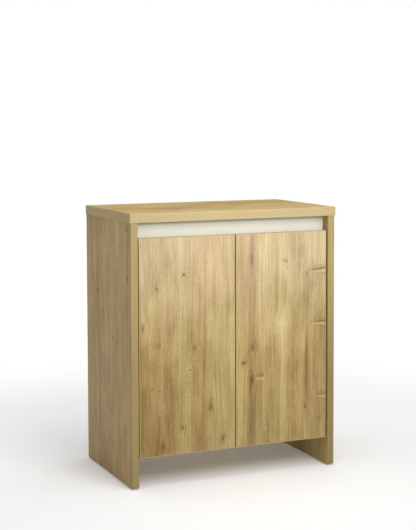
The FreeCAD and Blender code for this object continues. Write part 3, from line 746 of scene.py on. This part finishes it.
def beech_finish(name, colour):
    """Turned beech with short dark flecks."""
    finish = Finish(name)
    flecks = finish.even_noise(finish.place(), 1 / FLECK_SIZE).ease(*FLECK_EDGE)
    finish.relief(1 - flecks, depth=0.03)
    return finish.paint(
        Base_Color=finish.blend(flecks * 0.5, colour, [part * 0.6 for part in colour]),
        Roughness=0.6 + flecks * 0.1,
    )


# ------------------------------------------------------------------ settings that a user may change
def colour_property(name, description, default):
    """A colour that a user may change."""
    return FloatVectorProperty(
        name=name, description=description, default=default, subtype="COLOR", size=3, min=0.0, max=1.0
    )


class CabinetOak(bpy.types.PropertyGroup):
    """The oak laminate."""

    pale: colour_property("Pale grain", "Lightest wood between the grain lines", (0.59, 0.465, 0.215))
    body: colour_property("Body", "Main colour of the oak", (0.435, 0.322, 0.122))
    brown: colour_property("Brown grain", "Darker planks of the oak", (0.300, 0.203, 0.070))
    dark: colour_property("Dark grain", "Darkest streaks and fine splits", (0.13, 0.078, 0.032))
    rosy: colour_property("Rosy cast", "Tint that lies over the warmer planks", (1.0, 0.90, 0.86))
    # Painted light: the pale cast that stands in for the stronger light near the doors' tops.
    painted_top_light: colour_property("Cream", "Paleness that the doors gain towards the top", (0.120, 0.112, 0.122))
    knot: colour_property("Knot", "Heart of a knot", (0.10, 0.062, 0.026))
    sheen: FloatProperty(
        name="Roughness", description="Roughness of the satin print", default=0.5, min=0, max=1
    )
    pore_depth: FloatProperty(
        name="Pore depth", description="Depth of the pressed pores in mm", default=0.12
    )
    planks: FloatProperty(name="Planks", description="Contrast between the broad planks", default=0.85)
    # Painted light: how strongly the doors are painted paler towards the top.
    fade: FloatProperty(name="Fade", description="How far the doors pale towards the top", default=1.0)


class CabinetTrim(bpy.types.PropertyGroup):
    """Edge bands, rail and small fittings."""

    side_band: colour_property("Side bands", "Edge band on the side panels' fronts", (0.385, 0.285, 0.112))
    top_band: colour_property("Top bands", "Edge band round the top board", (0.47, 0.365, 0.185))
    door_band: colour_property("Door bands", "Edge band round the doors", (0.46, 0.36, 0.17))
    rail: colour_property("Rail", "Off-white rail above the doors", (0.84, 0.825, 0.725))
    nickel: colour_property("Nickel", "Plated hinges, screws and strike plates", (0.74, 0.72, 0.68))
    zinc: colour_property("Zinc", "Cast cams", (0.58, 0.58, 0.57))
    ferrite: colour_property("Magnet", "Ferrite magnet faces", (0.045, 0.045, 0.048))
    plastic: colour_property("Grommets", "Hose grommets and catches", (0.115, 0.078, 0.045))
    glide: colour_property("Glides", "Floor glides", (0.055, 0.045, 0.036))
    cap: colour_property("Caps", "Cover caps over the cams", (0.46, 0.345, 0.175))
    beech: colour_property("Dowels", "Beech dowels", (0.62, 0.44, 0.25))
    cap_radius: FloatProperty(
        name="Cap radius", description="Radius of a cam's cover cap", default=0.0092, unit="LENGTH"
    )
    cap_height: FloatProperty(
        name="Cap height", description="Height of a cover cap's dome", default=0.0013, unit="LENGTH"
    )


class CabinetStudio(bpy.types.PropertyGroup):
    """Floor, lights and camera."""

    floor: colour_property("Floor", "Plain pale floor", (0.90, 0.90, 0.90))
    key_power: FloatProperty(
        name="Key light", description="Power of the front light", default=5.2, unit="POWER"
    )
    key_spread: FloatProperty(
        name="Key spread", description="Spread of the front light's beam", default=math.radians(90),
        subtype="ANGLE",
    )
    fill_power: FloatProperty(
        name="Fill light", description="Power of the top light", default=46, unit="POWER"
    )
    ambient: FloatProperty(name="Ambient", description="Strength of the light from all round", default=0.22)
    lens: FloatProperty(name="Lens", description="Focal length in mm on a 36 mm sensor", default=86.6)
    camera_place: FloatVectorProperty(
        name="Camera place", description="Where the camera stands", default=(-1.4585, -3.274, 0.9831),
        subtype="TRANSLATION", unit="LENGTH",
    )
    camera_turn: FloatProperty(
        name="Camera turn", description="Turn of the view to the right", default=math.radians(23.96),
        subtype="ANGLE",
    )
    camera_tilt: FloatProperty(
        name="Camera tilt", description="Tilt of the view upwards", default=math.radians(-3.775),
        subtype="ANGLE",
    )
    camera_roll: FloatProperty(
        name="Camera roll", description="Roll of the view", default=math.radians(-0.145), subtype="ANGLE"
    )
    camera_shift: FloatProperty(name="Camera shift", description="Vertical lens shift", default=-0.1226)


# ------------------------------------------------------------------ pieces made here
CAP_TURNS = 40  # sides round a cap
DOME_STEPS = 6
WELD = 1e-6  # m


def lathe(name, profile, turns, places):
    """One mesh of like turned pieces: (radius, height) points swept round each place's axis."""
    mesh = bpy.data.meshes.new(name)
    shape = bmesh.new()
    for centre, axis in places:
        turn = axis.to_track_quat("Z", "Y").to_matrix()
        rings = []
        for radius, height in profile:
            if radius == 0:
                rings.append([shape.verts.new(centre + turn @ Vector((0, 0, height)))])
                continue
            ring = []
            for step in range(turns):
                angle = 2 * math.pi * step / turns
                spot = Vector((radius * math.cos(angle), radius * math.sin(angle), height))
                ring.append(shape.verts.new(centre + turn @ spot))
            rings.append(ring)
        for lower, upper in zip(rings, rings[1:]):
            for step in range(turns):
                after = (step + 1) % turns
                if len(lower) == 1:
                    shape.faces.new((lower[0], upper[after], upper[step]))
                elif len(upper) == 1:
                    shape.faces.new((lower[step], lower[after], upper[0]))
                else:
                    shape.faces.new((lower[step], lower[after], upper[after], upper[step]))
    bmesh.ops.recalc_face_normals(shape, faces=shape.faces)
    for face in shape.faces:
        face.smooth = True
    shape.to_mesh(mesh)
    shape.free()
    piece = bpy.data.objects.new(name, mesh)
    bpy.context.scene.collection.objects.link(piece)
    return piece


def separate_solids(node):
    """The boxes (lowest corner, highest corner) of the separate solids in a CAD node."""
    shape = bmesh.new()
    shape.from_mesh(NODES[node].data)
    bmesh.ops.remove_doubles(shape, verts=shape.verts, dist=WELD)
    seen = set()
    boxes = []
    for start in shape.verts:
        if start in seen:
            continue
        group = [start]
        seen.add(start)
        for vertex in group:  # the group grows while it is walked
            for edge in vertex.link_edges:
                other = edge.other_vert(vertex)
                if other not in seen:
                    seen.add(other)
                    group.append(other)
        low = Vector([min(v.co[i] for v in group) for i in range(3)])
        high = Vector([max(v.co[i] for v in group) for i in range(3)])
        boxes.append((low, high))
    shape.free()
    return boxes


def cap_profile(radius, height):
    """A shallow dome with a rounded rim, a flat underside and a small moulding dimple on top."""
    rim, crown = 0.18 * height, 0.90 * height
    shoulder = 0.86 * radius
    profile = [(0.0, 0.0), (0.97 * radius, 0.0), (radius, rim)]
    for step in range(1, DOME_STEPS + 1):
        angle = math.pi / 2 * step / DOME_STEPS
        out, up = math.cos(angle), math.sin(angle)
        profile.append((shoulder + (radius - shoulder) * out, rim + (crown - rim) * up))
    return profile + [(0.30 * radius, height), (0.16 * radius, 0.86 * height), (0.0, 0.82 * height)]


def point_on_face(middle, low, high, outward):
    """Where a line from a point inside a box, along an axis, leaves the box."""
    sides = [high[i] if outward[i] > 0 else low[i] for i in range(3)]
    return Vector([sides[i] if outward[i] else middle[i] for i in range(3)])


# ------------------------------------------------------------------ studio
FLOOR_RADIUS = 40.0
FLOOR_SIDES = 96
FLOOR_DROP = 0.0002
FADE_START, FADE_END = 0.35, 1.6  # m from the middle, where the floor starts to glow more and is all white
NEAR_GLOW = 0.12
WHITE, BLACK = (1.0, 1.0, 1.0), (0.0, 0.0, 0.0)

SoftLight = namedtuple("SoftLight", "name place target size")
KEY_LIGHT = SoftLight("key_light", (0.12, -1.28, 1.38), (0.0, -0.18, 0.72), (0.8, 1.1))
FILL_LIGHT = SoftLight("fill_light", (0.0, 0.0, 2.6), (0.0, 0.0, 0.0), (2.4, 2.4))
SENSOR_WIDTH = 36.0  # mm


def make_floor(look):
    """A wide disc that turns from a lit floor into the white of the surround."""
    mesh = bpy.data.meshes.new("floor")
    shape = bmesh.new()
    bmesh.ops.create_circle(shape, cap_ends=True, segments=FLOOR_SIDES, radius=FLOOR_RADIUS)
    bmesh.ops.translate(shape, verts=shape.verts, vec=(0, 0, -FLOOR_DROP))
    shape.to_mesh(mesh)
    shape.free()
    floor = bpy.data.objects.new("floor", mesh)
    bpy.context.scene.collection.objects.link(floor)
    finish = Finish("studio_floor")
    where = finish.node("ShaderNodeTexCoord", output="Object")
    reach = finish.node("ShaderNodeVectorMath", {"operation": "LENGTH"}, {0: where}, "Value")
    glow = reach.ease(FADE_START, FADE_END)
    mesh.materials.append(finish.paint(
        Base_Color=finish.blend(glow, look.floor, BLACK),
        Emission_Color=finish.blend(glow, [NEAR_GLOW] * 3, WHITE),
        Emission_Strength=1.0,
        Roughness=1.0,
        Specular_IOR_Level=0.0,
    ))


def make_surround(look):
    """White all round for the camera, and softer for what it lights."""
    world = bpy.data.worlds.new("studio")
    world.use_nodes = True
    bpy.context.scene.world = world
    graph = Graph(world.node_tree)
    seen = graph.node("ShaderNodeLightPath", output="Is Camera Ray")
    background = world.node_tree.nodes["Background"]
    graph.feed(background.inputs["Color"], tint(WHITE))
    graph.feed(background.inputs["Strength"], seen * (1 - look.ambient) + look.ambient)


def make_light(soft, power, spread):
    """A rectangular soft light that faces its target, with a beam of a given spread."""
    light = bpy.data.lights.new(soft.name, "AREA")
    light.shape = "RECTANGLE"
    light.size, light.size_y = soft.size
    light.energy = power
    light.spread = spread
    lamp = bpy.data.objects.new(soft.name, light)
    lamp.location = soft.place
    beam = Vector(soft.target) - Vector(soft.place)
    lamp.rotation_euler = beam.to_track_quat("-Z", "Y").to_euler()
    lamp.visible_camera = False
    bpy.context.scene.collection.objects.link(lamp)


def make_camera(look):
    """The camera, by its place, turn, tilt and roll."""
    camera = bpy.data.objects.new("camera", bpy.data.cameras.new("camera"))
    turn = Matrix.Rotation(-look.camera_turn, 4, "Z")
    tilt = Matrix.Rotation(math.pi / 2 + look.camera_tilt, 4, "X")
    roll = Matrix.Rotation(look.camera_roll, 4, "Z")
    camera.matrix_world = Matrix.Translation(look.camera_place) @ turn @ tilt @ roll
    camera.data.lens = look.lens
    camera.data.sensor_width = SENSOR_WIDTH
    camera.data.shift_y = look.camera_shift
    bpy.context.scene.collection.objects.link(camera)
    bpy.context.scene.camera = camera


# ------------------------------------------------------------------ operators
class CABINET_OT_oak_boards(bpy.types.Operator):
    """Prints oak on the top, sides, doors, back, bottom and shelf."""

    bl_idname = "cabinet.oak_boards"
    bl_label = "Oak boards"

    def execute(self, context):
        look = context.scene.cabinet_oak
        for side, door, panel in zip(SIDES, (LEFT_DOOR, RIGHT_DOOR), (LEFT_SIDE, RIGHT_SIDE)):
            name = f"{side}_door_panel"
            cover(oak_laminate(f"oak_{side}_door", door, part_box(name)[0], look, look.fade), name)
            name = f"{side}_side_panel"
            cover(oak_laminate(f"oak_{side}_side", panel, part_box(name)[0], look), name)
        others = {"top_panel": TOP, "back_panel": BACK, "bottom_panel": SHELVES, "shelf": SHELVES}
        for name, board in others.items():
            cover(oak_laminate(f"oak_{name}", board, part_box(name)[0], look), name)
        return {"FINISHED"}


class CABINET_OT_edge_bands(bpy.types.Operator):
    """Colours the ABS bands on the boards' edges."""

    bl_idname = "cabinet.edge_bands"
    bl_label = "Edge bands"

    def execute(self, context):
        look = context.scene.cabinet_trim
        left = edge_band_finish("band_left_side", "Z", look.side_band, seed=2.0, painted_foot_shade=0.87)
        cover(left, "left_side_edge_band")
        right = edge_band_finish("band_right_side", "Z", look.side_band, seed=5.0, painted_foot_shade=0.76)
        cover(right, "right_side_edge_band")
        door = edge_band_finish("band_door", "Z", look.door_band, seed=7.0)
        cover(door, "left_door_edge_bands", "right_door_edge_bands")
        along_front = edge_band_finish("band_front", "X", look.top_band, seed=11.0)
        cover(along_front, "top_front_edge_band", "bottom_edge_band", "shelf_edge_band")
        along_end = edge_band_finish("band_end", "Y", look.side_band, seed=17.0)
        cover(along_end, "top_left_edge_band", "top_right_edge_band")
        return {"FINISHED"}


class CABINET_OT_finger_rail(bpy.types.Operator):
    """Finishes the off-white rail above the doors."""

    bl_idname = "cabinet.finger_rail"
    bl_label = "Finger rail"

    def execute(self, context):
        look = context.scene.cabinet_trim
        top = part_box("finger_rail")[1][2] / MM
        cover(melamine_finish("melamine_rail", look.rail, "Y", top), "finger_rail")
        return {"FINISHED"}


class CABINET_OT_hardware(bpy.types.Operator):
    """Finishes hinges, screws, cams, dowels, pins, catches, grommets and glides."""

    bl_idname = "cabinet.hardware"
    bl_label = "Hardware"

    def execute(self, context):
        look = context.scene.cabinet_trim
        nickel = metal_finish("nickel_plate", look.nickel, rough=0.26, grit=0.35)
        screws = metal_finish("nickel_screws", look.nickel, rough=0.34, grit=0.25)
        for side in SIDES:
            for level in ("lower", "upper"):
                for part in ("arm", "plate", "cup"):
                    cover(nickel, f"{side}_{level}_hinge_{part}")
            cover(screws, f"{side}_hinge_pins", f"{side}_hinge_cup_screws", f"{side}_strike_screw")
            cover(nickel, f"{side}_strike_plate")
        cover(screws, "hinge_arm_screws", "hinge_plate_screws", "catch_screws", "cam_bolts", "shelf_pins")
        cover(metal_finish("cast_zinc", look.zinc, rough=0.45, grit=0.5), "cam_locks")
        plastic = plastic_finish("brown_plastic", look.plastic, rough=0.45, grit=0.3)
        cover(plastic, "left_hose_grommet", "right_hose_grommet", "catch_housings")
        cover(plastic_finish("ferrite", look.ferrite, rough=0.55, grit=0.2), "catch_magnets")
        cover(plastic_finish("glide_plastic", look.glide, rough=0.5, grit=0.4), "floor_glides")
        cover(beech_finish("beech", look.beech), "wood_dowels")
        return {"FINISHED"}


class CABINET_OT_cam_caps(bpy.types.Operator):
    """Presses a cover cap over each cam's mouth."""

    bl_idname = "cabinet.cam_caps"
    bl_label = "Cam caps"

    def execute(self, context):
        look = context.scene.cabinet_trim
        mouths = {  # the boards that hold cams, and the way that the cams' mouths face in each
            "left_side_panel": Vector((1, 0, 0)),
            "right_side_panel": Vector((-1, 0, 0)),
            "bottom_panel": Vector((0, 0, -1)),
            "finger_rail": Vector((0, 1, 0)),
            "back_panel": Vector((0, -1, 0)),
        }
        places = []
        cams = separate_solids("cam_locks")
        for low, high in cams:
            middle = (low + high) / 2
            for board, outward in mouths.items():
                start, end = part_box(board)
                if all(start[i] - MM < middle[i] < end[i] + MM for i in range(3)):
                    places.append((point_on_face(middle, start, end, outward), outward))
                    break
        if len(places) != len(cams):
            raise RuntimeError("a cam lies in none of the boards")
        caps = lathe("cam_caps", cap_profile(look.cap_radius, look.cap_height), CAP_TURNS, places)
        caps.data.materials.append(plastic_finish("cap_plastic", look.cap, rough=0.42, grit=0.25))
        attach(caps, CARCASS)
        return {"FINISHED"}


class CABINET_OT_studio(bpy.types.Operator):
    """Sets the pale floor, the lights and the camera."""

    bl_idname = "cabinet.studio"
    bl_label = "Studio"

    def execute(self, context):
        look = context.scene.cabinet_studio
        make_floor(look)
        make_surround(look)
        make_light(KEY_LIGHT, look.key_power, look.key_spread)
        make_light(FILL_LIGHT, look.fill_power, math.pi)
        make_camera(look)
        context.scene.view_settings.view_transform = "Standard"
        return {"FINISHED"}


# ------------------------------------------------------------------ panel and registration
OPERATORS = (
    CABINET_OT_oak_boards,
    CABINET_OT_edge_bands,
    CABINET_OT_finger_rail,
    CABINET_OT_hardware,
    CABINET_OT_cam_caps,
    CABINET_OT_studio,
)
SETTINGS = {"cabinet_oak": CabinetOak, "cabinet_trim": CabinetTrim, "cabinet_studio": CabinetStudio}


class CABINET_PT_sidebar(bpy.types.Panel):
    """Lists the cabinet's operators and settings."""

    bl_label = "Aquarium stand cabinet"
    bl_space_type = "VIEW_3D"
    bl_region_type = "UI"
    bl_category = "Cabinet"

    def draw(self, context):
        for operator in OPERATORS:
            self.layout.operator(operator.bl_idname)
        for name, group in SETTINGS.items():
            box = self.layout.box()
            for key in group.__annotations__:
                box.prop(getattr(context.scene, name), key)


CLASSES = (*SETTINGS.values(), *OPERATORS, CABINET_PT_sidebar)


def register():
    """Adds the add-on's classes and its settings to Blender."""
    for kind in CLASSES:
        bpy.utils.register_class(kind)
    for name, group in SETTINGS.items():
        setattr(bpy.types.Scene, name, PointerProperty(type=group))


def unregister():
    """Takes out what register() adds."""
    for name in SETTINGS:
        delattr(bpy.types.Scene, name)
    for kind in reversed(CLASSES):
        bpy.utils.unregister_class(kind)


def main():
    """Runs the operators in order."""
    register()
    for operator in OPERATORS:
        group, name = operator.bl_idname.split(".")
        getattr(getattr(bpy.ops, group), name)()


if __name__ == "__main__":
    main()
